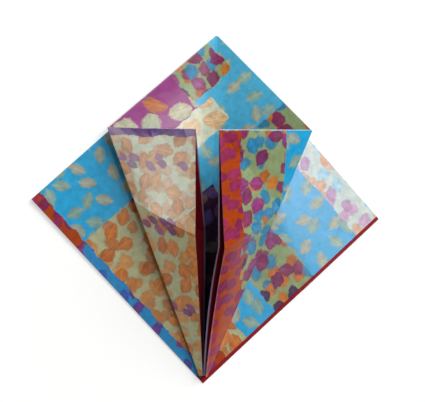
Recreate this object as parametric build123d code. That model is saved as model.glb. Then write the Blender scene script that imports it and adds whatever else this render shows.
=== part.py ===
from build123d import *
import os
from math import atan2, cos, hypot, pi, radians, sin, sqrt, tan
import numpy as np

# A square sheet of printed paper, folded flat to a quarter of its size and then kite folded in front.
# Lengths are millimetres and angles are degrees. The origin is under the middle of the flat rear square,
# +Z is up from the table and +Y runs along the middle line to the closed corner.

# The sheet
sheet_side = 150.0
paper = 0.12

# How the layers lie
layer_gap = 0.08          # air between two layers that lie against each other
gusset_gap = 0.16         # air inside the middle fold of each gusset
hinge_gap = 0.24          # air between a front page and its kite flap, beside their fold
rear_lip = 1.1            # how far the rear quarter reaches past the right gusset
corner_land = 0.10        # width of each gusset where it ends at the closed corner
blunt_end = 2.2           # where the sharp ends of the front folds stop short of the open corner

# A hand folded sheet is a little out of true
side_drop = {"left": 1.5, "right": 1.2}        # rear square's side corners, toward the open end
fold_error = {"left": -1.4, "right": 1.6}      # kite fold's end, past its true place on the closed edge
crease_error = {"left": -1.0, "right": 1.9}    # cross crease's end, past its true place on the open edge

# Each front page stands up along the middle line, and its kite flap stands open from the page.
# The flap has two layers, and each layer has its own opening angle along the open edge:
# at the tip beside the closed edge, at the end of the cross crease, and at the open corner.
page_angle = {"left": 5.0, "right": 20.0}
flap_tip = {"left": 46.0, "right": 46.0}
crease_inner = {"left": 25.0, "right": 56.0}
crease_outer = {"left": 51.0, "right": 64.0}
root_inner = {"left": 22.0, "right": 54.0}
root_outer = {"left": 48.0, "right": 76.0}

# Facets around each fold
fold_steps = 5

# Values that follow
side = sheet_side / 2
half_diagonal = side / sqrt(2)
kite_reach = side * (sqrt(2) - 1)              # from a folded corner to the true end of a kite fold
pitch = layer_gap + paper
gusset_radius = (gusset_gap + paper) / 2
hinge_radius = (hinge_gap + paper) / 2
slot = gusset_radius + paper / 2 + layer_gap / 2
rear_level = paper / 2
gusset_level = rear_level + pitch
axis_level = gusset_level + gusset_radius
front_level = gusset_radius + pitch
hinge_level = front_level + hinge_radius
shoulder = slot + corner_land
closed_end = half_diagonal - shoulder
open_end = blunt_end - half_diagonal
along = np.array([0, 1.0, 0])
panels = []


def panel(*corners):
    """Add one flat piece of the sheet."""
    panels.append([np.array(corner, float) for corner in corners])


def band(rows):
    """Add the pieces of the sheet between rows of points."""
    for near, far in zip(rows, rows[1:]):
        for first, second, third, fourth in zip(near, near[1:], far[1:], far):
            panel(first, second, third, fourth)
    return rows


def half_turn(step):
    """How far a fold of half a turn has come across the layers, and how far it bulges there."""
    angle = pi * step / fold_steps
    return pitch * (1 - cos(angle)) / 2, pitch * sin(angle) / 2


def turned_edge(near, far, outward):
    """Fold the sheet from the edge of one layer to the edge of the next."""
    rows = []
    for step in range(fold_steps + 1):
        across, bulge = half_turn(step)
        rows.append([a + (b - a) * across / pitch + c * bulge for a, b, c in zip(near, far, outward)])
    return band(rows)


class Half:
    """The layers on one side of the middle line."""

    def __init__(self, name):
        self.name = name
        self.sign = -1 if name == "left" else 1
        rise = radians(page_angle[name])
        self.out = np.array([self.sign * cos(rise), 0, sin(rise)])
        self.up = np.array([-self.sign * sin(rise), 0, cos(rise)])

        # The kite fold starts at the open corner and ends on the closed edge
        end_out = (side - kite_reach - fold_error[name]) / sqrt(2)
        end_rise = 2 * half_diagonal - end_out
        self.slant = atan2(end_out, end_rise)
        self.fold_length = hypot(end_out, end_rise)
        self.fold_line = sin(self.slant) * self.out + cos(self.slant) * along
        self.inward = sin(self.slant) * along - cos(self.slant) * self.out
        self.mitre = 1 / cos(pi / 4 - self.slant)

        # The cross crease starts at the closed corner and ends on the open edge of the flap
        foot = (kite_reach + crease_error[name]) / sqrt(2)
        self.tip = self.on_flap(half_diagonal, 0)
        self.crease_end = self.on_flap(half_diagonal - foot, -foot)
        start = self.on_flap(0, half_diagonal)
        share = start[1] / (start[1] - self.crease_end[1])
        self.cross = start[0] + (self.crease_end[0] - start[0]) * share
        self.root = blunt_end / cos(self.slant)
        self.root_end = (self.root, self.root * tan(pi / 4 - self.slant))

    def flat(self, out, rise, level):
        """A point of the layers that lie on the table."""
        return np.array([self.sign * out, rise, level])

    def rear_corner(self):
        """The side corner of the rear quarter."""
        return self.flat(half_diagonal, -side_drop[self.name], rear_level)

    def page(self, out, rise, level):
        """A point of the raised page, which turns about the middle fold of the gusset."""
        return self.flat(slot, rise, axis_level) + (out - slot) * self.out + level * self.up

    def on_flap(self, out, rise):
        """Place of a point of the page before the kite fold, along the fold and away from it."""
        height = rise + half_diagonal
        return (out * sin(self.slant) + height * cos(self.slant),
                out * cos(self.slant) - height * sin(self.slant))

    def on_fold(self, run, level):
        """A point of the page on the line of the kite fold."""
        return self.page(run * sin(self.slant), run * cos(self.slant) - half_diagonal, level)

    def around(self, run, radius, turn):
        """A point beside the kite fold, turned about its axis from the page toward the flap."""
        return self.on_fold(run, hinge_level) - radius * (cos(turn) * self.up + sin(turn) * self.inward)

    def flap(self, place, radius, opening):
        """A point of a flap layer that stands open by the given angle."""
        reach = cos(opening) * self.inward + sin(opening) * self.up
        return self.around(place[0], radius, pi - opening) + place[1] * reach


def lay_rear(half):
    """The rear half of a gusset, its closed edge, and the middle fold up to the page."""
    lip = rear_lip if half.name == "right" else 0
    corner_out = half_diagonal - lip / sqrt(2)
    top_corner = half.flat(shoulder, closed_end, gusset_level)
    side_corner = half.flat(corner_out, half_diagonal - corner_out - side_drop[half.name], gusset_level)
    raw_end = half.flat(blunt_end - lip * sqrt(2), open_end, gusset_level)
    near_end = half.flat(slot, open_end, gusset_level)
    panel(half.flat(slot, closed_end, gusset_level), top_corner, side_corner, raw_end, near_end)

    lower = [half.flat(shoulder, closed_end, rear_level), half.rear_corner()]
    outward = [half.flat(sqrt(2), 0, 0), half.flat(1, 1, 0) / sqrt(2)]
    edge = turned_edge(lower, [top_corner, side_corner], outward)

    rows = []
    for step in range(fold_steps + 1):
        turn = (pi - radians(page_angle[half.name])) * step / fold_steps
        spoke = half.flat(-sin(turn), 0, -cos(turn)) * gusset_radius
        rows.append([half.flat(slot, rise, axis_level) + spoke for rise in (closed_end, open_end)])
    middle = band(rows)
    return [row[0] for row in edge + middle]


def lay_page(half, valley):
    """The two layers of a front page with their closed edge."""
    edges = []
    for level in (gusset_radius, front_level):
        hinge = [half.on_fold(run, level) for run in (half.fold_length, half.cross, half.root)]
        top = half.page(shoulder, closed_end, level)
        if level == front_level:
            panel(valley[0], top, *hinge, valley[1])
        else:
            panel(half.page(slot, closed_end, level), top, *hinge, half.page(slot, open_end, level))
        edges.append([top, hinge[0]])
    edge = turned_edge(*edges, [half.out * sqrt(2), half.fold_line * half.mitre])
    return [row[0] for row in edge]


def lay_flap(half):
    """The kite fold with both layers around it, and the open flap."""
    tip = radians(flap_tip[half.name])
    crease = (radians(crease_inner[half.name]), radians(crease_outer[half.name]))
    root = (radians(root_inner[half.name]), radians(root_outer[half.name]))
    step_out = (half.tip[1] / kite_reach, (half.fold_length - half.tip[0]) / kite_reach)

    # The fold seen across: inner layer, closed edge, outer layer
    radii = (hinge_radius, hinge_radius + pitch)
    section = [(half.root, radii[0], root[0]), (half.cross, radii[0], (tip + crease[0]) / 2)]
    free_edge = [half.flap(half.root_end, radii[0], root[0]), half.flap(half.crease_end, radii[0], crease[0])]
    for step in range(fold_steps + 1):
        across, bulge = half_turn(step)
        section.append((half.fold_length + bulge * half.mitre, radii[0] + across, tip))
        place = (half.tip[0] + bulge * step_out[0], half.tip[1] + bulge * step_out[1])
        free_edge.append(half.flap(place, radii[0] + across, tip))
    section += [(half.cross, radii[1], (tip + crease[1]) / 2), (half.root, radii[1], root[1])]
    free_edge.append(half.flap(half.crease_end, radii[1], crease[1]))
    free_edge.append(half.flap(half.root_end, radii[1], root[1]))

    rows = []
    for step in range(fold_steps + 1):
        rows.append([half.around(run, radius, (pi - opening) * step / fold_steps)
                     for run, radius, opening in section])
    band(rows)

    # Each layer of the flap bends at the cross crease, and its closed edge joins the two
    base = rows[-1]
    for ends in ((0, 1, 2), (-1, -2, -3)):
        root_base, cross_base, top_base = [base[place] for place in ends]
        root_free, crease_free, tip_free = [free_edge[place] for place in ends]
        panel(root_base, root_free, crease_free)
        panel(root_base, crease_free, cross_base)
        panel(cross_base, crease_free, tip_free)
        panel(cross_base, tip_free, top_base)
    band([base[2:-2], free_edge[2:-2]])


def page_valley(left, right):
    """Where the front layers of the two pages meet along the middle line."""
    start_left, start_right = (half.page(slot, 0, front_level) for half in (left, right))
    directions = np.array([[left.out[0], -right.out[0]], [left.out[2], -right.out[2]]])
    gap = start_right - start_left
    share = np.linalg.solve(directions, [gap[0], gap[2]])[0]
    middle = start_left + share * left.out
    return [middle + closed_end * along, middle + open_end * along]


def same_way(faces):
    """Turn the pieces so that the printed side of every one faces the same way."""
    beside = {}
    for number, face in enumerate(faces):
        for edge in zip(face, face[1:] + face[:1]):
            beside.setdefault(frozenset(edge), []).append(number)
    placed = {0}
    waiting = [0]
    while waiting:
        face = faces[waiting.pop()]
        for edge in zip(face, face[1:] + face[:1]):
            for number in beside[frozenset(edge)]:
                if number not in placed:
                    other = faces[number]
                    if edge in zip(other, other[1:] + other[:1]):
                        other.reverse()
                    placed.add(number)
                    waiting.append(number)
    return [edge for face in faces for edge in zip(face, face[1:] + face[:1])
            if len(beside[frozenset(edge)]) == 1]


def surface_normal(points):
    """Normal of a piece, as long as twice its area."""
    return sum(np.cross(a - points[0], b - points[0]) for a, b in zip(points[1:], points[2:]))


def half_thickness(normals):
    """The step from the middle of the paper to its surface where several pieces meet."""
    offset = np.zeros(3)
    known = []
    for normal in sorted(normals, key=np.linalg.norm, reverse=True):
        normal = normal / np.linalg.norm(normal)
        new = normal - sum((np.dot(normal, axis) * axis for axis in known), np.zeros(3))
        size = np.linalg.norm(new)
        if size > (0.05, 0.05, 0.35, 2)[len(known)]:
            offset = offset + new / size * (paper / 2 - np.dot(offset, normal)) / size
            known.append(new / size)
    return offset


def plane_pieces(points):
    """The piece itself where it is flat, and two triangles where it is twisted."""
    normal = surface_normal(points)
    normal = normal / np.linalg.norm(normal)
    if max(abs(np.dot(point - points[0], normal)) for point in points) < 1e-9:
        return [points]
    return [[points[0], a, b] for a, b in zip(points[1:], points[2:])]


# The sheet as a surface of no thickness, laid from the rear quarter up
left = Half("left")
right = Half("right")
open_corner = left.flat(0, -half_diagonal, rear_level)
panel(left.flat(shoulder, closed_end, rear_level), left.rear_corner(), open_corner,
      right.rear_corner(), right.flat(shoulder, closed_end, rear_level))
valley = page_valley(left, right)
left_corner = lay_rear(left) + lay_page(left, valley)
right_corner = lay_rear(right) + lay_page(right, valley)
lay_flap(left)
lay_flap(right)

# The closed corner, where every fold of the base meets
panel(*left_corner, valley[0], *reversed(right_corner))

# The surface made as thick as the paper
places = {}
points = []
faces = []
for piece in panels:
    face = []
    for corner in piece:
        key = tuple(np.round(corner, 5))
        if key not in places:
            places[key] = len(points)
            points.append(corner)
        face.append(places[key])
    faces.append(face)
open_edges = same_way(faces)
normals = [[] for point in points]
for face in faces:
    normal = surface_normal([points[number] for number in face])
    for number in face:
        normals[number].append(normal)
steps = [half_thickness(around) for around in normals]
upper = [point + step for point, step in zip(points, steps)]
lower = [point - step for point, step in zip(points, steps)]
skin = [[upper[number] for number in face] for face in faces]
skin += [[lower[number] for number in reversed(face)] for face in faces]
skin += [[upper[end], upper[start], lower[start], lower[end]] for start, end in open_edges]
flat_pieces = [piece for wall in skin for piece in plane_pieces(wall)]
folded_sheet = Solid(Shell([Face(Wire.make_polygon([tuple(point) for point in piece]))
                            for piece in flat_pieces]))

os.makedirs("parts", exist_ok=True)
export_step(folded_sheet, "parts/folded_sheet.step")
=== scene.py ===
from collections import Counter
from math import atan2, cos, hypot, pi, radians, sin, sqrt, tan
import bpy
import numpy as np
from mathutils import Euler, Matrix, Vector, noise
from mathutils.geometry import tessellate_polygon


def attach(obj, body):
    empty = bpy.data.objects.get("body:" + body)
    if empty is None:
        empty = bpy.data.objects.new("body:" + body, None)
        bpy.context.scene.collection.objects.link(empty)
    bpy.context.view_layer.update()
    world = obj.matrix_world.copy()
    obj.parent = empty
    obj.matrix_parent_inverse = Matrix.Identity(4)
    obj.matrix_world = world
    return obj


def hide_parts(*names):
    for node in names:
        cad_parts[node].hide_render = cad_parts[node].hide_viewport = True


# A square sheet of printed paper, folded flat to a quarter of its size and kite folded in front.
# The sheet is laid again here with finer folds and its own flat layout, so the print runs over the folds.

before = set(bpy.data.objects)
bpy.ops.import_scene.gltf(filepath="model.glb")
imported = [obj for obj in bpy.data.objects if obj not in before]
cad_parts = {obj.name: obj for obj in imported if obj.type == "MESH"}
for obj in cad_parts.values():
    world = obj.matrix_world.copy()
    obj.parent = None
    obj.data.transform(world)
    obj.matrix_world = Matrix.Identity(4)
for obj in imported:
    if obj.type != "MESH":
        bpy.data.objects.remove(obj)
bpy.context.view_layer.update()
scene = bpy.context.scene
scene.view_settings.view_transform = "Standard"
millimetre = 0.001


def linearColour(hexText):  # sRGB hex to the linear values that shaders use
    linear = []
    for place in (0, 2, 4):
        part = int(hexText[place:place + 2], 16) / 255
        linear.append(part / 12.92 if part <= 0.04045 else ((part + 0.055) / 1.055) ** 2.4)
    return (*linear, 1.0)


def addNode(tree, kind, settings=None, links=None):  # one node with its settings and what feeds it
    node = tree.nodes.new(kind)
    for name, value in (settings or {}).items():
        if isinstance(name, str) and hasattr(node, name):
            setattr(node, name, value)
        else:
            node.inputs[name].default_value = value
    for name, source in (links or {}).items():
        tree.links.new(source, node.inputs[name])
    return node


def startMaterial(name, finish):  # a new material, with its finish set on the shader
    material = bpy.data.materials.new(name)
    material.use_nodes = True
    tree = material.node_tree
    shader = tree.nodes["Principled BSDF"]
    for socket, setting in (("Roughness", "roughness"), ("IOR", "ior"), ("Specular IOR Level", "sheen")):
        shader.inputs[socket].default_value = finish[setting]
    return material, tree, shader


# The folded sheet's shape, in millimetres and degrees

foldedSheet = {
    "side": 150.0,            # the flat square
    "paper": 0.12,            # thickness of one layer
    "layerGap": 0.08,         # air between layers that lie together
    "gussetGap": 0.16,        # air inside the middle fold of each gusset
    "hingeGap": 0.24,         # air between a front page and its flap, beside the fold
    "rearLip": 1.1,           # how far the rear quarter shows past the right gusset
    "cornerLand": 0.10,       # width of each gusset at the closed corner
    "bluntEnd": 2.2,          # where the sharp ends of the front folds stop
    "kiteTurn": 0.3,          # half of the paper that a kite fold takes
    "sideDrop": {"left": 1.5, "right": 1.2},         # side corners of the rear, toward the open corner
    "foldError": {"left": -1.4, "right": 1.6},       # kite fold's end, past its true place
    "creaseError": {"left": -1.0, "right": 1.9},     # cross crease's end, past its true place
    "pageAngle": {"left": 5.0, "right": 20.0},       # how far each front page stands up
    "flapTip": {"left": 46.0, "right": 46.0},        # how far each flap stands open at its tip,
    "creaseInner": {"left": 25.0, "right": 56.0},    # then for both its layers at the cross crease
    "creaseOuter": {"left": 51.0, "right": 64.0},
    "rootInner": {"left": 22.0, "right": 54.0},      # and at the open corner
    "rootOuter": {"left": 48.0, "right": 76.0},
    "foldSteps": 8,           # facets around a fold
    "weld": 5,                # decimals to which two points agree that are one
    "longestEdge": 3.0,       # of the mesh
    "crisp": 5.0,             # an edge that turns more than this stays crisp
    "cornerLift": {"left": 0.5, "right": 0.1},       # how far the loose side corners curl off the table
    "cornerCurl": 2.5,        # power of that curl; a higher one starts nearer the corner
    "ridge": {"out": 25.2, "rise": -8.7, "lean": 28.7, "reach": 14.0, "soft": 2.0, "inside": 0.05,
              "outside": 0.012, "fade": (16, 3)},    # low handling ridge across the right panel
    "valley": 7.0,            # half width of the soft trough between the two front pages
    "valleyShare": (0.35, 0.2),      # at most these shares of the way to the closed and the open corner
    "pageBow": 0.25,          # swell of the front pages
    "flapBow": {"left": 0.7, "right": 0.55},         # swell of the open flaps
    "fullBow": 20.0,          # width from which a panel swells in full
    "narrowest": 0.1,         # width that a panel has at its very end
    "creaseSwell": {"left": 0.65, "right": 0.5},     # how far the old cross crease of each flap stands out
    "creaseReach": 14.0,
    "creaseFade": 5.0,        # grows over this distance from the kite fold
    "edgeBow": {"page": 0.35, "front": 1.0},         # the right flap's lower free edges bow to the middle
    "ripple": 0.10,           # handling waves, all over
    "rippleLength": 17.0,
    "rippleShift": 40,        # keeps the two sides' waves apart
    "rippleFade": {"rear": (14, 4), "page": (10, 0), "fold": (8, 0)},    # grow over, and start from
}

side = foldedSheet["side"] / 2
halfDiagonal = side / sqrt(2)
kiteReach = side * (sqrt(2) - 1)
pitch = foldedSheet["layerGap"] + foldedSheet["paper"]
gussetRadius = (foldedSheet["gussetGap"] + foldedSheet["paper"]) / 2
hingeRadius = (foldedSheet["hingeGap"] + foldedSheet["paper"]) / 2
slot = gussetRadius + foldedSheet["paper"] / 2 + foldedSheet["layerGap"] / 2
rearLevel = foldedSheet["paper"] / 2
gussetLevel = rearLevel + pitch
axisLevel = gussetLevel + gussetRadius
frontLevel = gussetRadius + pitch
hingeLevel = frontLevel + hingeRadius
shoulder = slot + foldedSheet["cornerLand"]
closedEnd = halfDiagonal - shoulder
openEnd = foldedSheet["bluntEnd"] - halfDiagonal
foldSteps = foldedSheet["foldSteps"]
edgeTurn = pitch * pi / 4      # half of the paper that a closed edge takes
hingeTurn = foldedSheet["kiteTurn"]
along = np.array([0, 1.0, 0])
panels = []


def panel(*corners):  # one flat piece; a corner is its place x, y, z and its place u, v on the flat sheet
    for second, third in zip(corners[1:], corners[2:]):
        panels.append([corners[0], second, third])


def band(rows):  # the pieces between rows of points
    for near, far in zip(rows, rows[1:]):
        for first, second, third, fourth in zip(near, near[1:], far[1:], far):
            panel(first, second, third, fourth)
    return rows


def halfTurn(step):  # how far a fold of half a turn has come across the layers, and its bulge
    angle = pi * step / foldSteps
    return pitch * (1 - cos(angle)) / 2, pitch * sin(angle) / 2


def turnedEdge(near, far, outward):  # the sheet turns from one layer's edge to the next one's
    rows = []
    for step in range(foldSteps + 1):
        across, bulge = halfTurn(step)
        rows.append([a + (b - a) * across / pitch + np.append(c * bulge, (0, 0))
                     for a, b, c in zip(near, far, outward)])
    return band(rows)


class Half:  # the layers on one side of the middle line
    def __init__(self, name):
        self.name = name
        self.sign = -1 if name == "left" else 1
        rise = radians(foldedSheet["pageAngle"][name])
        self.out = np.array([self.sign * cos(rise), 0, sin(rise)])
        self.up = np.array([-self.sign * sin(rise), 0, cos(rise)])
        endOut = (side - kiteReach - foldedSheet["foldError"][name]) / sqrt(2)
        endRise = 2 * halfDiagonal - endOut
        self.slant = atan2(endOut, endRise)
        self.foldLength = hypot(endOut, endRise)
        self.foldLine = sin(self.slant) * self.out + cos(self.slant) * along
        self.inward = sin(self.slant) * along - cos(self.slant) * self.out
        self.mitre = 1 / cos(pi / 4 - self.slant)
        foot = (kiteReach + foldedSheet["creaseError"][name]) / sqrt(2)
        self.tip = self.onFlap(halfDiagonal, 0)
        self.creaseEnd = self.onFlap(halfDiagonal - foot, -foot)
        start = self.onFlap(0, halfDiagonal)
        share = start[1] / (start[1] - self.creaseEnd[1])
        self.cross = start[0] + (self.creaseEnd[0] - start[0]) * share
        self.root = foldedSheet["bluntEnd"] / cos(self.slant)
        self.rootEnd = (self.root, self.root * tan(pi / 4 - self.slant))

    def spot(self, layer, out, rise):  # place on the flat sheet of a point of one layer
        far = (halfDiagonal - rise + out) / sqrt(2)
        near = max((halfDiagonal - rise - out) / sqrt(2), edgeTurn)
        layers = {"rear": (far, near), "gusset": (far, -near), "page": (near, -far), "front": (-near, -far)}
        return layers[layer] if self.name == "left" else layers[layer][::-1]

    def lie(self, layer, out, rise, level, drop=0.0):  # a point of the layers on the table
        return np.array([self.sign * out, rise - drop, level, *self.spot(layer, out, rise)])

    def lift(self, out, rise, level):  # a point of the raised page, turned about the gusset's middle fold
        start = np.array([self.sign * slot, rise, axisLevel])
        return start + (out - slot) * self.out + level * self.up

    def page(self, layer, out, rise, level):  # the same with its place on the flat sheet
        return np.append(self.lift(out, rise, level), self.spot(layer, out, rise))

    def onFlap(self, out, rise):  # along the kite fold, and away from it
        height = rise + halfDiagonal
        return (out * sin(self.slant) + height * cos(self.slant),
                out * cos(self.slant) - height * sin(self.slant))

    def offFlap(self, run, away):  # the way back: out and rise before the kite fold
        return (run * sin(self.slant) + away * cos(self.slant),
                run * cos(self.slant) - away * sin(self.slant) - halfDiagonal)

    def around(self, run, radius, turn, away):  # a point beside the kite fold, turned from page toward flap
        place = self.lift(run * sin(self.slant), run * cos(self.slant) - halfDiagonal, hingeLevel)
        place = place - radius * (cos(turn) * self.up + sin(turn) * self.inward)
        return np.append(place, self.spot(self.layerAt(radius), *self.offFlap(run, away)))

    def layerAt(self, radius):
        return "front" if radius < hingeRadius + pitch / 2 else "page"

    def flap(self, place, radius, opening):  # a point of a flap layer that stands open by an angle
        base = self.around(place[0], radius, pi - opening, 0)
        reach = cos(opening) * self.inward + sin(opening) * self.up
        spot = self.spot(self.layerAt(radius), *self.offFlap(*place))
        return np.append(base[:3] + place[1] * reach, spot)


def layRear(half):  # the rear half of a gusset, its closed edge, and its middle fold
    lip = foldedSheet["rearLip"] if half.name == "right" else 0
    drop = foldedSheet["sideDrop"][half.name]
    cornerOut = halfDiagonal - lip / sqrt(2)
    topCorner = half.lie("gusset", shoulder, closedEnd, gussetLevel)
    sideCorner = half.lie("gusset", cornerOut, halfDiagonal - cornerOut, gussetLevel, drop)
    rawEnd = half.lie("gusset", foldedSheet["bluntEnd"] - lip * sqrt(2), openEnd, gussetLevel)
    nearEnd = half.lie("gusset", slot, openEnd, gussetLevel)
    panel(half.lie("gusset", slot, closedEnd, gussetLevel), topCorner, sideCorner, rawEnd, nearEnd)

    lower = [half.lie("rear", shoulder, closedEnd, rearLevel),
             half.lie("rear", halfDiagonal, 0, rearLevel, drop)]
    outward = [np.array([half.sign * sqrt(2), 0, 0]), np.array([half.sign, 1, 0]) / sqrt(2)]
    edge = turnedEdge(lower, [topCorner, sideCorner], outward)

    rows = []
    for step in range(foldSteps + 1):
        share = step / foldSteps
        turn = (pi - radians(foldedSheet["pageAngle"][half.name])) * share
        row = []
        for rise in (closedEnd, openEnd):
            start = np.array(half.spot("gusset", slot, rise))
            end = np.array(half.spot("page", slot, rise))
            spoke = np.array([-half.sign * sin(turn), 0, -cos(turn)]) * gussetRadius
            place = np.array([half.sign * slot, rise, axisLevel]) + spoke
            row.append(np.append(place, start + (end - start) * share))
        rows.append(row)
    middle = band(rows)
    return [row[0] for row in edge + middle]


def layPage(half, valley):  # the two layers of a front page with their closed edge
    edges = []
    for layer, level in (("page", gussetRadius), ("front", frontLevel)):
        radius = hingeLevel - level
        hinge = [half.around(run, radius, 0, -hingeTurn) for run in (half.foldLength, half.cross, half.root)]
        top = half.page(layer, shoulder, closedEnd, level)
        ends = [half.page(layer, slot, rise, level) for rise in (closedEnd, openEnd)]
        if layer == "front":
            ends = valley
        panel(ends[0], top, *hinge, ends[1])
        edges.append([top, hinge[0]])
    edge = turnedEdge(*edges, [half.out * sqrt(2), half.foldLine * half.mitre])
    return [row[0] for row in edge]


def layFlap(half):  # the kite fold with both layers around it, and the open flap
    name = half.name
    tip = radians(foldedSheet["flapTip"][name])
    crease = (radians(foldedSheet["creaseInner"][name]), radians(foldedSheet["creaseOuter"][name]))
    root = (radians(foldedSheet["rootInner"][name]), radians(foldedSheet["rootOuter"][name]))
    stepOut = (half.tip[1] / kiteReach, (half.foldLength - half.tip[0]) / kiteReach)
    radii = (hingeRadius, hingeRadius + pitch)
    section = [(half.root, radii[0], root[0]), (half.cross, radii[0], (tip + crease[0]) / 2)]
    freeEdge = [half.flap(half.rootEnd, radii[0], root[0]), half.flap(half.creaseEnd, radii[0], crease[0])]
    for step in range(foldSteps + 1):
        across, bulge = halfTurn(step)
        section.append((half.foldLength + bulge * half.mitre, radii[0] + across, tip))
        place = (half.tip[0] + bulge * stepOut[0], half.tip[1] + bulge * stepOut[1])
        freeEdge.append(half.flap(place, radii[0] + across, tip))
    section += [(half.cross, radii[1], (tip + crease[1]) / 2), (half.root, radii[1], root[1])]
    freeEdge.append(half.flap(half.creaseEnd, radii[1], crease[1]))
    freeEdge.append(half.flap(half.rootEnd, radii[1], root[1]))

    rows = []
    for step in range(foldSteps + 1):
        share = step / foldSteps
        rows.append([half.around(run, radius, (pi - opening) * share, hingeTurn * (2 * share - 1))
                     for run, radius, opening in section])
    ahead = 2      # a row has two points before its closed edge, and two after it
    for row in rows + [freeEdge]:      # the closed edge's paper is shared out between its two layers
        first = row[ahead][3:].copy()
        last = row[ahead + foldSteps][3:].copy()
        for step in range(foldSteps + 1):
            row[ahead + step][3:] = first + (last - first) * step / foldSteps
    band(rows)

    base = rows[-1]
    for ends in ((0, 1, 2), (-1, -2, -3)):
        rootBase, crossBase, topBase = [base[place] for place in ends]
        rootFree, creaseFree, tipFree = [freeEdge[place] for place in ends]
        panel(rootBase, rootFree, creaseFree)
        panel(rootBase, creaseFree, crossBase)
        panel(crossBase, creaseFree, tipFree)
        panel(crossBase, tipFree, topBase)
    band([base[ahead:-ahead], freeEdge[ahead:-ahead]])


def pageValley(left, right):  # where the front layers of the two pages meet along the middle line
    starts = [half.lift(slot, 0, frontLevel) for half in (left, right)]
    directions = np.array([[left.out[0], -right.out[0]], [left.out[2], -right.out[2]]])
    gap = starts[1] - starts[0]
    share = np.linalg.solve(directions, [gap[0], gap[2]])[0]
    middle = starts[0] + share * left.out
    rows = []
    for rise in (closedEnd, openEnd):
        spot = (rise - halfDiagonal) / sqrt(2)
        rows.append(np.append(middle + rise * along, (spot, spot)))
    return rows


def splitLongEdges(points, faces, longest):  # halve the long edges until the mesh is fine enough to bend
    while True:
        middles = {}
        firstNew = len(points)
        for face in faces:
            for a, b in zip(face, face[1:] + face[:1]):
                key = (min(a, b), max(a, b))
                if key not in middles and np.linalg.norm(points[a][:3] - points[b][:3]) > longest:
                    middles[key] = len(points)
                    points.append((points[a] + points[b]) / 2)
        if not middles:
            return faces
        finer = []
        for face in faces:
            ring = []
            for a, b in zip(face, face[1:] + face[:1]):
                ring.append(a)
                middle = middles.get((min(a, b), max(a, b)))
                if middle is not None:
                    ring.append(middle)
            if len(ring) == 6:
                a, ab, b, bc, c, ca = ring
                finer += [[a, ab, ca], [ab, b, bc], [bc, c, ca], [ab, bc, ca]]
            elif len(ring) == 3:
                finer.append(ring)
            else:
                while ring[0] < firstNew or (len(ring) == 5 and ring[2] < firstNew):
                    ring = ring[1:] + ring[:1]
                finer += [[ring[0], ring[step], ring[step + 1]] for step in range(1, len(ring) - 1)]
        faces = finer


def sameWay(faces):  # turn every face so that the printed side faces one way
    beside = {}
    for number, face in enumerate(faces):
        for edge in zip(face, face[1:] + face[:1]):
            beside.setdefault(frozenset(edge), []).append(number)
    placed = {0}
    waiting = [0]
    while waiting:
        face = faces[waiting.pop()]
        for edge in zip(face, face[1:] + face[:1]):
            for number in beside[frozenset(edge)]:
                if number not in placed:
                    other = faces[number]
                    if edge in zip(other, other[1:] + other[:1]):
                        other.reverse()
                    placed.add(number)
                    waiting.append(number)


def whichLayer(u, v):  # half and layer of a place on the flat sheet, and its place before the kite fold
    if u > 0 and v > 0:
        layer, half = "rear", "left" if u > v else "right"
    elif u <= 0 and v <= 0:
        layer, half = "front", "left" if v < u else "right"
    else:
        half = "left" if u > 0 else "right"
        layer = "gusset" if u + v > 0 else "page"
    far = max(abs(u), abs(v))
    near = min(abs(u), abs(v))
    return half, layer, (far - near) / sqrt(2), halfDiagonal - (far + near) / sqrt(2)


def easeIn(distance, growth, start=0):  # 0 to 1 with soft ends
    share = min(max((distance - start) / growth, 0.0), 1.0)
    return share * share * (3 - 2 * share)


def ramp(value, soft):  # 0 below zero and the value itself above, with a soft bend between
    return (value + hypot(value, soft)) / 2


def ridgeHeight(out, rise):  # climbs slowly toward the ridge and falls slowly behind it
    ridge = foldedSheet["ridge"]
    lean = radians(ridge["lean"])
    beyond = (out - ridge["out"]) * cos(lean) + (rise - ridge["rise"]) * sin(lean)
    climb = ridge["inside"] * ramp(beyond + ridge["reach"], ridge["soft"])
    fall = (ridge["inside"] + ridge["outside"]) * ramp(beyond, ridge["soft"])
    return (climb - fall) * easeIn(out, *ridge["fade"])


def bendRear(half, out, rise, wave):  # the layers on the table curl up at the side corners
    lift = foldedSheet["cornerLift"][half.name] * (out / halfDiagonal) ** foldedSheet["cornerCurl"]
    lift += foldedSheet["ripple"] * (0.5 + wave) * easeIn(out, *foldedSheet["rippleFade"]["rear"])
    if half.name == "right":
        lift += ridgeHeight(out, rise)
    return np.array([0, 0, max(lift, 0)])


def bendFlap(half, layer, run, away, wave):  # an open flap swells, also along its old cross crease
    endRun, endAway = half.creaseEnd
    widest = np.interp(run, (half.root, endRun, half.tip[0], half.foldLength),
                       (half.rootEnd[1], endAway, half.tip[1], foldedSheet["narrowest"]))
    swell = foldedSheet["flapBow"][half.name] * sin(pi * min(away / widest, 1))
    swell *= easeIn(widest, foldedSheet["fullBow"])
    swell += foldedSheet["ripple"] * wave * easeIn(away, *foldedSheet["rippleFade"]["fold"])
    length = endRun - half.cross
    aside = abs((run - half.cross) * endAway - away * length) / hypot(length, endAway)
    outermost = (away / widest) ** 2
    if aside < foldedSheet["creaseReach"]:
        near = (1 - aside / foldedSheet["creaseReach"]) ** 2 * easeIn(away, foldedSheet["creaseFade"])
        swell += foldedSheet["creaseSwell"][half.name] * near * (1 - outermost / 2)
    opening = radians(foldedSheet["flapTip"][half.name])
    bent = swell * (cos(opening) * half.up - sin(opening) * half.inward)
    if half.name == "right":
        lean = radians(foldedSheet["rootOuter"][half.name])
        bow = foldedSheet["edgeBow"][layer] * outermost * sin(pi * min(run / endRun, 1))
        bent += bow * (sin(lean) * half.inward - cos(lean) * half.up)
    return bent


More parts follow.
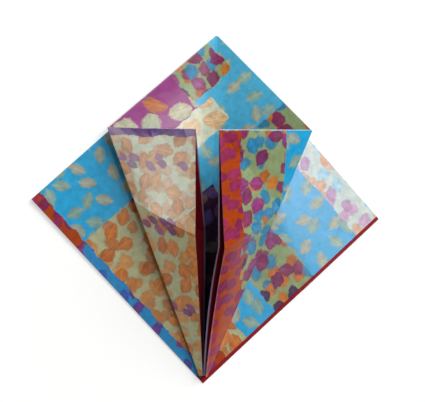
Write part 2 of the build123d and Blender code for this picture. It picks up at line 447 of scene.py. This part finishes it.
def bendPage(half, layer, out, rise, away, wave):  # a front page swells up to the middle line's trough
    fade = foldedSheet["rippleFade"]
    widest = min((rise + halfDiagonal) * tan(half.slant), halfDiagonal - rise)
    swell = foldedSheet["pageBow"] * sin(pi * min(out / max(widest, foldedSheet["narrowest"]), 1))
    swell *= easeIn(widest, foldedSheet["fullBow"])
    swell += foldedSheet["ripple"] * wave * easeIn(out, *fade["page"]) * easeIn(-away, *fade["fold"])
    bent = swell * half.up
    upper, lower = foldedSheet["valleyShare"]
    trough = min(foldedSheet["valley"], upper * (halfDiagonal - rise), lower * (halfDiagonal + rise))
    if layer == "front" and out < trough:      # the front quarter has no crease along the middle line
        slopes = sum(tan(radians(angle)) for angle in foldedSheet["pageAngle"].values())
        bent[2] += trough * slopes / 4 * (1 - out / trough) ** 2
    return bent


def bend(point):  # handled paper swells, curls and ripples; layers that touch move together
    name, layer, out, rise = whichLayer(point[3], point[4])
    half = halves[name]
    seed = Vector((out, rise, foldedSheet["rippleShift"] * half.sign)) / foldedSheet["rippleLength"]
    wave = noise.noise(seed)
    run, away = half.onFlap(out, rise)
    if layer in ("rear", "gusset"):
        return point[:3] + bendRear(half, out, rise, wave)
    if away > 0:
        return point[:3] + bendFlap(half, layer, run, away, wave)
    return point[:3] + bendPage(half, layer, out, rise, away, wave)


halves = {name: Half(name) for name in ("left", "right")}
left, right = halves.values()
shoulders = [half.lie("rear", shoulder, closedEnd, rearLevel) for half in (left, right)]
sideCorners = [half.lie("rear", halfDiagonal, 0, rearLevel, foldedSheet["sideDrop"][half.name])
               for half in (left, right)]
openCorner = left.lie("rear", 0, -halfDiagonal, rearLevel)
panel(shoulders[0], sideCorners[0], openCorner, sideCorners[1], shoulders[1])
valley = pageValley(left, right)
corner = layRear(left) + layPage(left, valley) + [valley[0]]
corner += reversed(layRear(right) + layPage(right, valley))
layFlap(left)
layFlap(right)
flatCorner = [Vector(point[[0, 2, 1]]) for point in corner]
for triple in tessellate_polygon([flatCorner]):      # the closed corner, where every fold of the base meets
    panels.append([corner[number] for number in triple])

places = {}
points = []
faces = []
for piece in panels:
    face = []
    for point in piece:
        key = tuple(np.round(point[:3], foldedSheet["weld"]))
        if key not in places:
            places[key] = len(points)
            points.append(point)
        face.append(places[key])
    if len(set(face)) == 3:
        faces.append(face)
sameWay(faces)
first = [points[number] for number in faces[0]]
if np.cross(first[1][:3] - first[0][:3], first[2][:3] - first[0][:3])[2] > 0:   # the rear's print faces down
    for face in faces:
        face.reverse()
faces = splitLongEdges(points, faces, foldedSheet["longestEdge"])
mesh = bpy.data.meshes.new("foldedSheet")
mesh.from_pydata([bend(point) * millimetre for point in points], [], faces)
layout = mesh.uv_layers.new(name="flatSheet")
layoutSide = foldedSheet["side"] + 2       # the flat sheet fills the layout square, with a 1 mm margin
for loop in mesh.loops:
    layout.data[loop.index].uv = points[loop.vertex_index][3:] / layoutSide + 0.5
mesh.shade_smooth()
mesh.set_sharp_from_angle(angle=radians(foldedSheet["crisp"]))
uses = Counter(frozenset(edge) for face in faces for edge in zip(face, face[1:] + face[:1]))
for edge in mesh.edges:      # a cut edge stays crisp
    if uses[frozenset(edge.vertices)] == 1:
        edge.use_edge_sharp = True
sheetPiece = bpy.data.objects.new("foldedSheet", mesh)
scene.collection.objects.link(sheetPiece)
thicken = sheetPiece.modifiers.new("paperThickness", "SOLIDIFY")
thicken.thickness = foldedSheet["paper"] * millimetre
thicken.offset = 0
thicken.material_offset = 1
thicken.material_offset_rim = 2
print("folded sheet:", len(faces), "faces before thickening")


# Screen printed paper: flat inks with soft brushed shapes, and a satin surface that washes out under a lamp

printedPaper = {
    "roughness": 0.25,
    "ior": 1.5,
    "sheen": 0.42,            # ink on soft paper shines less than solid ink
    "fibre": 0.9,             # mm between fibres; real ones are finer, drawn coarse enough to show
    "fibreDepth": 0.008,      # mm
    "fibreStrength": 0.5,
    "wrinkle": 9.0,           # mm between the soft wrinkles of handling
    "wrinkleDepth": 0.10,     # mm
    "mottle": (0.45, 0.82, 1.14),    # waves per mm of the uneven ink, its darkest and its lightest tone
    "wander": (0.28, 0.9),    # waves per mm, and mm that the edge of a colour field wanders
    "bleed": 3,               # mm that a field prints past the sheet's edge
    "brush": 0.7,             # waves per mm along a shape's outline
    "scatter": 0.72,          # how far the shapes stray from an even grid
    "seedStep": (37.3, 11.9),        # mm from one kind of shape to the next in the same scatter
    "rimBand": (0.6, 0.05, 1.06),    # where ink starts and ends to pool at an outline, and its tone inside
    "streaks": (0.4, 2.2),    # waves per mm along and across the brush
    "streakTone": (0.84, 1.16),
    "ribWidth": (0.06, 0.16),        # where a leaf's rib fades, as shares of the leaf's half width
    "wornFold": 0.2,          # mm of pale core that shows beside a closed fold of the front
    "wornFolds": (("Y", "X", 0.5), ("X", "Y", 0.3)),    # its place is 0 on one axis, it runs along the other
    "core": "D8DCD2",
    "shapes": {               # sizes in mm, share of places in use, lean and its spread in degrees, tones
        "leaves": {"spacing": 6.2, "long": 5.9, "wide": 3.4, "share": 0.95, "lean": 60, "spread": 170,
                   "rim": 0.92, "rough": 0.12, "soft": 0.22, "cover": 0.82, "pointed": True, "rib": 1.1},
        "pebbles": {"spacing": 5.3, "long": 5.1, "wide": 3.6, "share": 0.84, "lean": 20, "spread": 160,
                    "rim": 0.94, "rough": 0.22, "soft": 0.22, "cover": 0.9, "pointed": False, "rib": 1.0},
        "buds": {"spacing": 6.0, "long": 5.8, "wide": 4.2, "share": 0.78, "lean": 10, "spread": 150,
                 "rim": 0.88, "rough": 0.18, "soft": 0.14, "cover": 0.92, "pointed": True, "rib": 1.16},
        "grains": {"spacing": 5.9, "long": 4.7, "wide": 3.4, "share": 0.72, "lean": 70, "spread": 120,
                   "rim": 0.92, "rough": 0.2, "soft": 0.18, "cover": 0.88, "pointed": False, "rib": 1.0},
        "dashes": {"spacing": 4.4, "long": 6.2, "wide": 3.2, "share": 0.82, "lean": 16, "spread": 44,
                   "rim": 0.93, "rough": 0.22, "soft": 0.2, "cover": 0.88, "pointed": False, "rib": 1.0},
        "sprigs": {"spacing": 3.2, "long": 4.3, "wide": 2.4, "share": 0.94, "lean": 62, "spread": 30,
                   "rim": 0.95, "rough": 0.2, "soft": 0.2, "cover": 0.88, "pointed": False, "rib": 1.0,
                   "rows": (9.5, 28.0, 53.0), "rowWidth": 3.3},      # stand in rows at these u, in mm
        "petals": {"spacing": 8.0, "long": 8.4, "wide": 5.8, "share": 0.94, "lean": 70, "spread": 120,
                   "rim": 0.92, "rough": 0.14, "soft": 0.16, "cover": 0.92, "pointed": True, "rib": 1.08},
    },
    "fields": {               # ground ink, and the inks of the shapes printed over it
        "lake": ("2CADE2", {"leaves": ("93A98C", "AAA986", "9DAF90", "B3AD88")}),
        # a lighter copy of the lake inks: painted light that makes up for the light the raised front pages
        # miss
        "lakePaintedLighter": ("54B8DE", {"leaves": ("9DB398", "B2B290", "A6B89A", "BAB592")}),
        "meadow": ("BCBD92", {"pebbles": ("CB8846", "D49452", "BA7C4C"), "grains": ("D29456", "C27A3E"),
                              "buds": ("CB7431", "BD672F", "D68038"),
                              "sprigs": ("823474", "72306C", "8F4C80")}),
        # a paler copy of the meadow inks: painted sheen for the upper facet of the left flap
        "meadowPaintedSheen": ("DDE5C6", {"pebbles": ("E6B88E", "E9C29E", "E0AE84"), "grains": ("E3BC96", "DCA872"),
                                  "buds": ("DE9E5E", "D69052", "E2A868"),
                                  "sprigs": ("8E4A86", "80407E", "9C5E94")}),
        "orchard": ("94A676", {"grains": ("CC702A", "C06424", "2884B2"),
                               "pebbles": ("2884B2", "D27A2E", "8A2C62"),
                               "buds": ("8A2C62", "7E2A5E", "3F1F54", "93397A", "2884B2")}),
        "plum": ("9A3280", {"petals": ("B4B998", "C2BE9A", "C0743A")}),
        "cream": ("D8D8BC", {"petals": ("E0B888", "DCAA70", "D8D8BC")}),
        # pale print that also serves as a painted sheen, the white haze of reflected light on the right panel
        "blossomPaintedSheen": ("CBD8D2", {"pebbles": ("C99AC0", "DCAA8C", "9CCFE4"), "grains": ("BB88B8", "DB9C78")}),
        "orangeBand": ("B2430E", {"dashes": ("922A5C", "A03062", "82245A")}),
        "blueBand": ("2F90CC", {"dashes": ("4C4298", "6A3088", "3F58B0", "8A3078")}),
        "mauveBand": ("7F5596", {"dashes": ("6A4A92", "4F86C0", "8A4E90", "6A4A92")}),
        # dark plum print darkened to serve as painted shade for the deep gap between the flaps; its leaves
        # are light enough to show from behind
        "plumPaintedShade": ("4E1838", {"leaves": ("8C4E70", "745086", "A06E60")}),
    },
    "patches": (              # field, then u and v ranges in mm on the flat sheet; later ones lie over
        ("lake", -75, 75, -75, 75),
        ("meadow", 2.2, 75, -75, -20),
        # painted sheen: the paler meadow copy on the left flap, ending at the cross crease
        ("meadowPaintedSheen", 2.2, 44, -75, -30, 0.4),      # only where u + 0.4 v < 0: up to the cross crease
        ("mauveBand", -0.3, 2.2, -75, -40),
        ("orangeBand", 72, 75, -20, 0),
        ("blueBand", 72, 75, -75, -20),
        # painted light: the lighter lake copy over the whole front quarter
        ("lakePaintedLighter", -75, 0, -75, 0),
        ("orchard", -11, 0, -20, -4),
        ("plum", -13, 0, -48, -20),
        ("cream", -22, -13, -31, -15),
        ("orchard", -46, -30, -18, 0),
        # painted shade: the dark plum field on the front quarter, under the flaps and in the gap between them
        ("plumPaintedShade", -75, -33, -75, -33),
        # painted sheen: the pale field along the right panel's middle fold
        ("blossomPaintedSheen", -9, 0, 28, 75),
        ("orchard", -44, -28, 30, 75),
        ("orchard", -69, -52, 0, 52),
        ("meadow", -69, -56, 56, 75),
        ("orangeBand", -75, -67.9, 0, 75),
        ("orangeBand", -75, -66.4, 36, 75),
        ("orangeBand", -75, -64.6, 44, 75),
        ("meadow", 6, 36, 6, 36),
        ("orchard", 40, 70, 8, 34),
        ("plum", 8, 34, 42, 70),
        ("orangeBand", 72, 75, 0, 75),
        ("blueBand", 0, 72, 72, 75),
    ),
}


def sheetPlace(tree):  # place on the flat sheet, in mm from its middle
    layoutMap = addNode(tree, "ShaderNodeUVMap", {"uv_map": "flatSheet"})
    return addNode(tree, "ShaderNodeVectorMath",
                   {"operation": "MULTIPLY_ADD", 1: (layoutSide, layoutSide, 0),
                    2: (-layoutSide / 2, -layoutSide / 2, 0)}, {0: layoutMap.outputs[0]}).outputs[0]


def drawShape(tree, place, shape, seed):  # brushed shapes over the sheet: cover, lot for the ink, tone
    shift = [seed * step for step in printedPaper["seedStep"]]
    moved = addNode(tree, "ShaderNodeVectorMath", {"operation": "ADD", 1: (*shift, 0)}, {0: place}).outputs[0]
    cells = addNode(tree, "ShaderNodeTexVoronoi",
                    {"voronoi_dimensions": "2D", "Scale": 1 / shape["spacing"],
                     "Randomness": printedPaper["scatter"]}, {"Vector": moved})
    chance = addNode(tree, "ShaderNodeSeparateColor", {}, {"Color": cells.outputs["Color"]})
    offset = addNode(tree, "ShaderNodeVectorMath", {"operation": "SUBTRACT"},
                     {0: moved, 1: cells.outputs["Position"]})
    lean = addNode(tree, "ShaderNodeMath",
                   {"operation": "MULTIPLY_ADD", 1: radians(shape["spread"]),
                    2: radians(shape["lean"] - shape["spread"] / 2)}, {0: chance.outputs["Red"]})
    turned = addNode(tree, "ShaderNodeVectorRotate", {"rotation_type": "Z_AXIS"},
                     {"Vector": offset.outputs[0], "Angle": lean.outputs[0]})
    stretched = addNode(tree, "ShaderNodeVectorMath",
                        {"operation": "MULTIPLY", 1: (2 / shape["long"], 2 / shape["wide"], 0)},
                        {0: turned.outputs[0]})
    parts = addNode(tree, "ShaderNodeSeparateXYZ", {}, {0: stretched.outputs[0]})
    aside = addNode(tree, "ShaderNodeMath", {"operation": "ABSOLUTE"}, {0: parts.outputs["Y"]}).outputs[0]
    if shape["pointed"]:      # a leaf: the square along it plus the distance across it is 1 at its outline
        reach = addNode(tree, "ShaderNodeMath", {"operation": "MULTIPLY_ADD"},
                        {0: parts.outputs["X"], 1: parts.outputs["X"], 2: aside}).outputs[0]
    else:
        reach = addNode(tree, "ShaderNodeVectorMath", {"operation": "LENGTH"},
                        {0: stretched.outputs[0]}).outputs["Value"]
    brush = addNode(tree, "ShaderNodeTexNoise",
                    {"noise_dimensions": "2D", "Scale": printedPaper["brush"], "Detail": 3.0},
                    {"Vector": moved})
    ragged = addNode(tree, "ShaderNodeMath", {"operation": "MULTIPLY_ADD", 1: 4 * shape["rough"]},
                     {0: brush.outputs["Fac"], 2: reach}).outputs[0]
    outline = 1 + 2 * shape["rough"]      # what the ragged reach comes to at the shape's true outline
    inside = addNode(tree, "ShaderNodeMapRange",
                     {"From Min": outline + shape["soft"] / 2, "From Max": outline - shape["soft"],
                      "To Max": shape["cover"]}, {"Value": ragged})
    present = addNode(tree, "ShaderNodeMath", {"operation": "LESS_THAN", 1: shape["share"]},
                      {0: chance.outputs["Blue"]})
    if "rows" in shape:
        middle = addNode(tree, "ShaderNodeSeparateXYZ", {}, {0: cells.outputs["Position"]})
        inRow, *others = [addNode(tree, "ShaderNodeMath",
                                  {"operation": "COMPARE", 1: row + shift[0], 2: shape["rowWidth"] / 2},
                                  {0: middle.outputs["X"]}) for row in shape["rows"]]
        for other in others:
            inRow = addNode(tree, "ShaderNodeMath", {"operation": "MAXIMUM"},
                            {0: inRow.outputs[0], 1: other.outputs[0]})
        present = addNode(tree, "ShaderNodeMath", {"operation": "MULTIPLY"},
                          {0: present.outputs[0], 1: inRow.outputs[0]})
    cover = addNode(tree, "ShaderNodeMath", {"operation": "MULTIPLY"},
                    {0: inside.outputs[0], 1: present.outputs[0]})
    rimStart, rimEnd, heart = printedPaper["rimBand"]
    rim = addNode(tree, "ShaderNodeMapRange",      # ink pools darker at a shape's rim
                  {"From Min": outline - rimStart, "From Max": outline - rimEnd,
                   "To Min": heart, "To Max": shape["rim"]}, {"Value": ragged})
    grain = addNode(tree, "ShaderNodeVectorMath", {"operation": "MULTIPLY", 1: (*printedPaper["streaks"], 1)},
                    {0: turned.outputs[0]})
    streaks = addNode(tree, "ShaderNodeTexNoise", {"noise_dimensions": "2D", "Scale": 1.0, "Detail": 2.0},
                      {"Vector": grain.outputs[0]})
    darkest, lightest = printedPaper["streakTone"]
    streaked = addNode(tree, "ShaderNodeMapRange",
                       {"From Min": 0.3, "From Max": 0.7, "To Min": darkest, "To Max": lightest},
                       {"Value": streaks.outputs["Fac"]})
    ribStart, ribEnd = printedPaper["ribWidth"]
    rib = addNode(tree, "ShaderNodeMapRange",
                  {"From Min": ribStart, "From Max": ribEnd, "To Min": shape["rib"], "To Max": 1.0},
                  {"Value": aside})
    tone = rim.outputs[0]
    for factor in (streaked, rib):
        tone = addNode(tree, "ShaderNodeMath", {"operation": "MULTIPLY"},
                       {0: tone, 1: factor.outputs[0]}).outputs[0]
    return cover.outputs[0], chance.outputs["Green"], tone


def printShape(tree, ground, inks, drawn):  # the shapes in a field's own inks over its ground
    cover, lot, tone = drawn
    ink = addNode(tree, "ShaderNodeValToRGB", {}, {"Fac": lot})
    ink.color_ramp.interpolation = "CONSTANT"
    stops = ink.color_ramp.elements
    for number, colour in enumerate(inks):
        stop = stops[number] if number < 2 else stops.new(number / len(inks))
        stop.position = number / len(inks)
        stop.color = linearColour(colour)
    toned = addNode(tree, "ShaderNodeVectorMath", {"operation": "SCALE"},
                    {0: ink.outputs["Color"], "Scale": tone})
    return addNode(tree, "ShaderNodeMix", {"data_type": "RGBA"},
                   {0: cover, 6: ground, 7: toned.outputs[0]}).outputs[2]


def paintFields(tree, place):  # each field's ground ink with its shapes, all over the sheet
    drawn = {}
    for seed, (name, shape) in enumerate(printedPaper["shapes"].items()):
        drawn[name] = drawShape(tree, place, shape, seed + 1)
    painted = {}
    for field, (ground, layers) in printedPaper["fields"].items():
        inkGround = addNode(tree, "ShaderNodeRGB")
        inkGround.outputs[0].default_value = linearColour(ground)
        painted[field] = inkGround.outputs[0]
        for name, inks in layers.items():
            painted[field] = printShape(tree, painted[field], inks, drawn[name])
    return painted


def layPatches(tree, place, straight, painted):  # the fields side by side on the sheet, with wandering edges
    waves, width = printedPaper["wander"]
    wander = addNode(tree, "ShaderNodeTexNoise", {"noise_dimensions": "2D", "Scale": waves, "Detail": 2.0},
                     {"Vector": place})
    shift = addNode(tree, "ShaderNodeVectorMath",
                    {"operation": "MULTIPLY_ADD", 1: (2 * width,) * 3, 2: (-width,) * 3},
                    {0: wander.outputs["Color"]})
    wandering = addNode(tree, "ShaderNodeVectorMath", {"operation": "ADD"}, {0: place, 1: shift.outputs[0]})
    across = addNode(tree, "ShaderNodeSeparateXYZ", {}, {0: wandering.outputs[0]})
    colour = painted[printedPaper["patches"][0][0]]
    for field, uLow, uHigh, vLow, vHigh, *slants in printedPaper["patches"][1:]:
        masks = []
        for axis, low, high in (("X", uLow, uHigh), ("Y", vLow, vHigh)):
            low -= printedPaper["bleed"] if low == -side else 0
            high += printedPaper["bleed"] if high == side else 0
            masks.append(addNode(tree, "ShaderNodeMath",
                                 {"operation": "COMPARE", 1: (low + high) / 2, 2: (high - low) / 2},
                                 {0: across.outputs[axis]}))
        for slant in slants:
            line = addNode(tree, "ShaderNodeMath", {"operation": "MULTIPLY_ADD", 1: slant},
                           {0: straight.outputs["Y"], 2: straight.outputs["X"]})
            masks.append(addNode(tree, "ShaderNodeMath", {"operation": "LESS_THAN", 1: 0.0},
                                 {0: line.outputs[0]}))
        inside = masks[0].outputs[0]
        for mask in masks[1:]:
            inside = addNode(tree, "ShaderNodeMath", {"operation": "MULTIPLY"},
                             {0: inside, 1: mask.outputs[0]}).outputs[0]
        colour = addNode(tree, "ShaderNodeMix", {"data_type": "RGBA"},
                         {0: inside, 6: colour, 7: painted[field]}).outputs[2]
    return colour


def wearFolds(tree, straight, colour):  # the closed folds on the front quarter's side rub pale
    for foldAxis, alongAxis, strength in printedPaper["wornFolds"]:
        beside = addNode(tree, "ShaderNodeMath",
                         {"operation": "COMPARE", 1: 0.0, 2: printedPaper["wornFold"]},
                         {0: straight.outputs[foldAxis]})
        inFront = addNode(tree, "ShaderNodeMath", {"operation": "LESS_THAN", 1: -1.0},
                          {0: straight.outputs[alongAxis]})
        worn = addNode(tree, "ShaderNodeMath", {"operation": "MULTIPLY"},
                       {0: beside.outputs[0], 1: inFront.outputs[0]})
        amount = addNode(tree, "ShaderNodeMath", {"operation": "MULTIPLY", 1: strength}, {0: worn.outputs[0]})
        colour = addNode(tree, "ShaderNodeMix", {"data_type": "RGBA", 7: linearColour(printedPaper["core"])},
                         {0: amount.outputs[0], 6: colour}).outputs[2]
    return colour


def makePrintedPaper():
    material, tree, shader = startMaterial("screenPrintedWashi", printedPaper)
    place = sheetPlace(tree)
    straight = addNode(tree, "ShaderNodeSeparateXYZ", {}, {0: place})
    colour = layPatches(tree, place, straight, paintFields(tree, place))
    colour = wearFolds(tree, straight, colour)
    waves, darkest, lightest = printedPaper["mottle"]
    mottle = addNode(tree, "ShaderNodeTexNoise",
                     {"noise_dimensions": "2D", "Scale": waves, "Detail": 5.0, "Roughness": 0.65},
                     {"Vector": place})
    shade = addNode(tree, "ShaderNodeMapRange",
                    {"From Min": 0.25, "From Max": 0.75, "To Min": darkest, "To Max": lightest},
                    {"Value": mottle.outputs["Fac"]})
    inked = addNode(tree, "ShaderNodeVectorMath", {"operation": "SCALE"},
                    {0: colour, "Scale": shade.outputs[0]})
    fibres, handled = [addNode(tree, "ShaderNodeTexNoise",
                               {"noise_dimensions": "2D", "Scale": 1 / printedPaper[spacing], "Detail": 3.0},
                               {"Vector": place}) for spacing in ("fibre", "wrinkle")]
    folds = addNode(tree, "ShaderNodeMath", {"operation": "PINGPONG", 1: 0.5}, {0: handled.outputs["Fac"]})
    wrinkles = addNode(tree, "ShaderNodeBump",
                       {"Strength": 1.0, "Distance": printedPaper["wrinkleDepth"] * millimetre},
                       {"Height": folds.outputs[0]})
    bump = addNode(tree, "ShaderNodeBump",
                   {"Strength": printedPaper["fibreStrength"],
                    "Distance": printedPaper["fibreDepth"] * millimetre},
                   {"Height": fibres.outputs["Fac"], "Normal": wrinkles.outputs[0]})
    tree.links.new(inked.outputs[0], shader.inputs["Base Color"])
    tree.links.new(bump.outputs[0], shader.inputs["Normal"])
    return material


# Dyed back of the same paper: deep red, matter than the print, paler where the knife cut it

dyedBack = {
    "roughness": 0.6,
    "ior": 1.5,
    "sheen": 0.2,
    "ink": "A81224",
    "shade": "820C18",
    "cloud": 0.3,             # waves per mm of the uneven dye
    "cutMargin": 0.3,         # mm; real paper shows half of this, drawn wide enough to show
    "cutSoft": 0.08,          # mm that the margin fades over, to either side
    "cutInk": "B2ACD0",
}


def makeDyedBack():
    material, tree, shader = startMaterial("dyedWashiBack", dyedBack)
    place = sheetPlace(tree)
    cloud = addNode(tree, "ShaderNodeTexNoise",
                    {"noise_dimensions": "2D", "Scale": dyedBack["cloud"], "Detail": 5.0}, {"Vector": place})
    dyed = addNode(tree, "ShaderNodeMix",
                   {"data_type": "RGBA", 6: linearColour(dyedBack["ink"]),
                    7: linearColour(dyedBack["shade"])}, {0: cloud.outputs["Fac"]})
    parts = addNode(tree, "ShaderNodeSeparateXYZ", {}, {0: place})
    lowest = addNode(tree, "ShaderNodeMath", {"operation": "MINIMUM"},
                     {0: parts.outputs["X"], 1: parts.outputs["Y"]})
    cut = dyedBack["cutMargin"] - side
    margin = addNode(tree, "ShaderNodeMapRange",
                     {"From Min": cut + dyedBack["cutSoft"], "From Max": cut - dyedBack["cutSoft"]},
                     {"Value": lowest.outputs[0]})
    coloured = addNode(tree, "ShaderNodeMix", {"data_type": "RGBA", 7: linearColour(dyedBack["cutInk"])},
                       {0: margin.outputs[0], 6: dyed.outputs[2]})
    tree.links.new(coloured.outputs[2], shader.inputs["Base Color"])
    return material


# Cut edge of the paper: the undyed core between print and back, a dull pale line

cutEdge = {
    "roughness": 0.7,
    "ior": 1.5,
    "sheen": 0.5,
    "core": "94869E",
    "shade": "786C88",
    "cloud": 60.0,            # waves of the uneven core along one side of the sheet
}


def makeCutEdge():
    material, tree, shader = startMaterial("guillotinedPaperEdge", cutEdge)
    layoutMap = addNode(tree, "ShaderNodeUVMap", {"uv_map": "flatSheet"})
    cloud = addNode(tree, "ShaderNodeTexNoise",
                    {"noise_dimensions": "2D", "Scale": cutEdge["cloud"], "Detail": 3.0},
                    {"Vector": layoutMap.outputs[0]})
    coloured = addNode(tree, "ShaderNodeMix",
                       {"data_type": "RGBA", 6: linearColour(cutEdge["core"]),
                        7: linearColour(cutEdge["shade"])}, {0: cloud.outputs["Fac"]})
    tree.links.new(coloured.outputs[2], shader.inputs["Base Color"])
    return material


for material in (makePrintedPaper(), makeDyedBack(), makeCutEdge()):
    mesh.materials.append(material)
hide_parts("folded_sheet")
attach(sheetPiece, "root")
print("materials: printed side, dyed back, cut edge")


# Floor, lamps and camera

studio = {
    "floorSize": 3.0,         # m
    "floorDrop": 0.0001,      # m, so that the paper's underside stays clear of the floor
    "floorTone": "DADAD7",
    "floorFinish": {"roughness": 0.9, "ior": 1.5, "sheen": 0.0},
    "floorGlow": 0.47,        # added for the camera, reflections and clear things: white with a soft shadow
    "worldTone": "EEF1F6",
    "worldStrength": 0.05,
    "lamps": (                # name, direction to it, distance m, size m, power W
        ("highWindow", (0.29, 0.175, 0.94), 0.9, 0.17, 1.25),
        ("rightWindow", (0.583, 0.603, 0.545), 1.0, 0.75, 12.7),
        ("leftWindow", (-0.93, -0.19, 0.29), 1.0, 0.40, 3.3),
    ),
}


def makeFloor():
    reach = studio["floorSize"] / 2
    corners = [(x * reach, y * reach, 0) for x, y in ((-1, -1), (1, -1), (1, 1), (-1, 1))]
    floorMesh = bpy.data.meshes.new("floor")
    floorMesh.from_pydata(corners, [], [(0, 1, 2, 3)])
    floor = bpy.data.objects.new("floor", floorMesh)
    scene.collection.objects.link(floor)
    floor.location.z = -studio["floorDrop"]
    material, tree, shader = startMaterial("paleCardFloor", studio["floorFinish"])
    shader.inputs["Base Color"].default_value = linearColour(studio["floorTone"])
    ray = addNode(tree, "ShaderNodeLightPath")
    seen = addNode(tree, "ShaderNodeMath", {"operation": "ADD"},
                   {0: ray.outputs["Is Camera Ray"], 1: ray.outputs["Is Glossy Ray"]})
    through = addNode(tree, "ShaderNodeMath", {"operation": "ADD", "use_clamp": True},
                      {0: seen.outputs[0], 1: ray.outputs["Is Transmission Ray"]})
    power = addNode(tree, "ShaderNodeMath", {"operation": "MULTIPLY", 1: studio["floorGlow"]},
                    {0: through.outputs[0]})
    glow = addNode(tree, "ShaderNodeEmission", {}, {"Strength": power.outputs[0]})
    both = addNode(tree, "ShaderNodeAddShader", {}, {0: shader.outputs[0], 1: glow.outputs[0]})
    tree.links.new(both.outputs[0], tree.nodes["Material Output"].inputs["Surface"])
    floorMesh.materials.append(material)


def makeLights():
    world = bpy.data.worlds.new("studioSky")
    world.use_nodes = True
    sky = world.node_tree.nodes["Background"]
    sky.inputs["Color"].default_value = linearColour(studio["worldTone"])
    sky.inputs["Strength"].default_value = studio["worldStrength"]
    scene.world = world
    for name, toward, distance, size, power in studio["lamps"]:
        lamp = bpy.data.lights.new(name, "AREA")
        lamp.shape = "SQUARE"
        lamp.size = size
        lamp.energy = power
        holder = bpy.data.objects.new(name, lamp)
        scene.collection.objects.link(holder)
        direction = Vector(toward).normalized()
        holder.location = direction * distance
        holder.rotation_euler = direction.to_track_quat("Z", "Y").to_euler()


# The photograph looks down on the paper from a little below and to the left of upright
photoView = {
    "turn": (-7.8, 9.3, -3.5),        # degrees about x, y and z that bring the paper in front of the lens
    "offset": (0.776, 1.375, 300.0),  # mm from the paper's origin to the lens, after those turns
    "lens": 84.0,                     # mm on a 36 mm wide sensor
    "nearest": 0.01,                  # m
}


def makeCamera():
    turn = Euler([radians(angle) for angle in photoView["turn"]], "XYZ").to_matrix().transposed()
    lens = bpy.data.cameras.new("photoCamera")
    lens.lens = photoView["lens"]
    lens.clip_start = photoView["nearest"]
    camera = bpy.data.objects.new("photoCamera", lens)
    scene.collection.objects.link(camera)
    place = turn @ (Vector(photoView["offset"]) * millimetre)
    camera.matrix_world = Matrix.Translation(place) @ turn.to_4x4()
    scene.camera = camera


makeFloor()
makeLights()
makeCamera()
print("floor, lamps and camera")

bpy.context.view_layer.update()
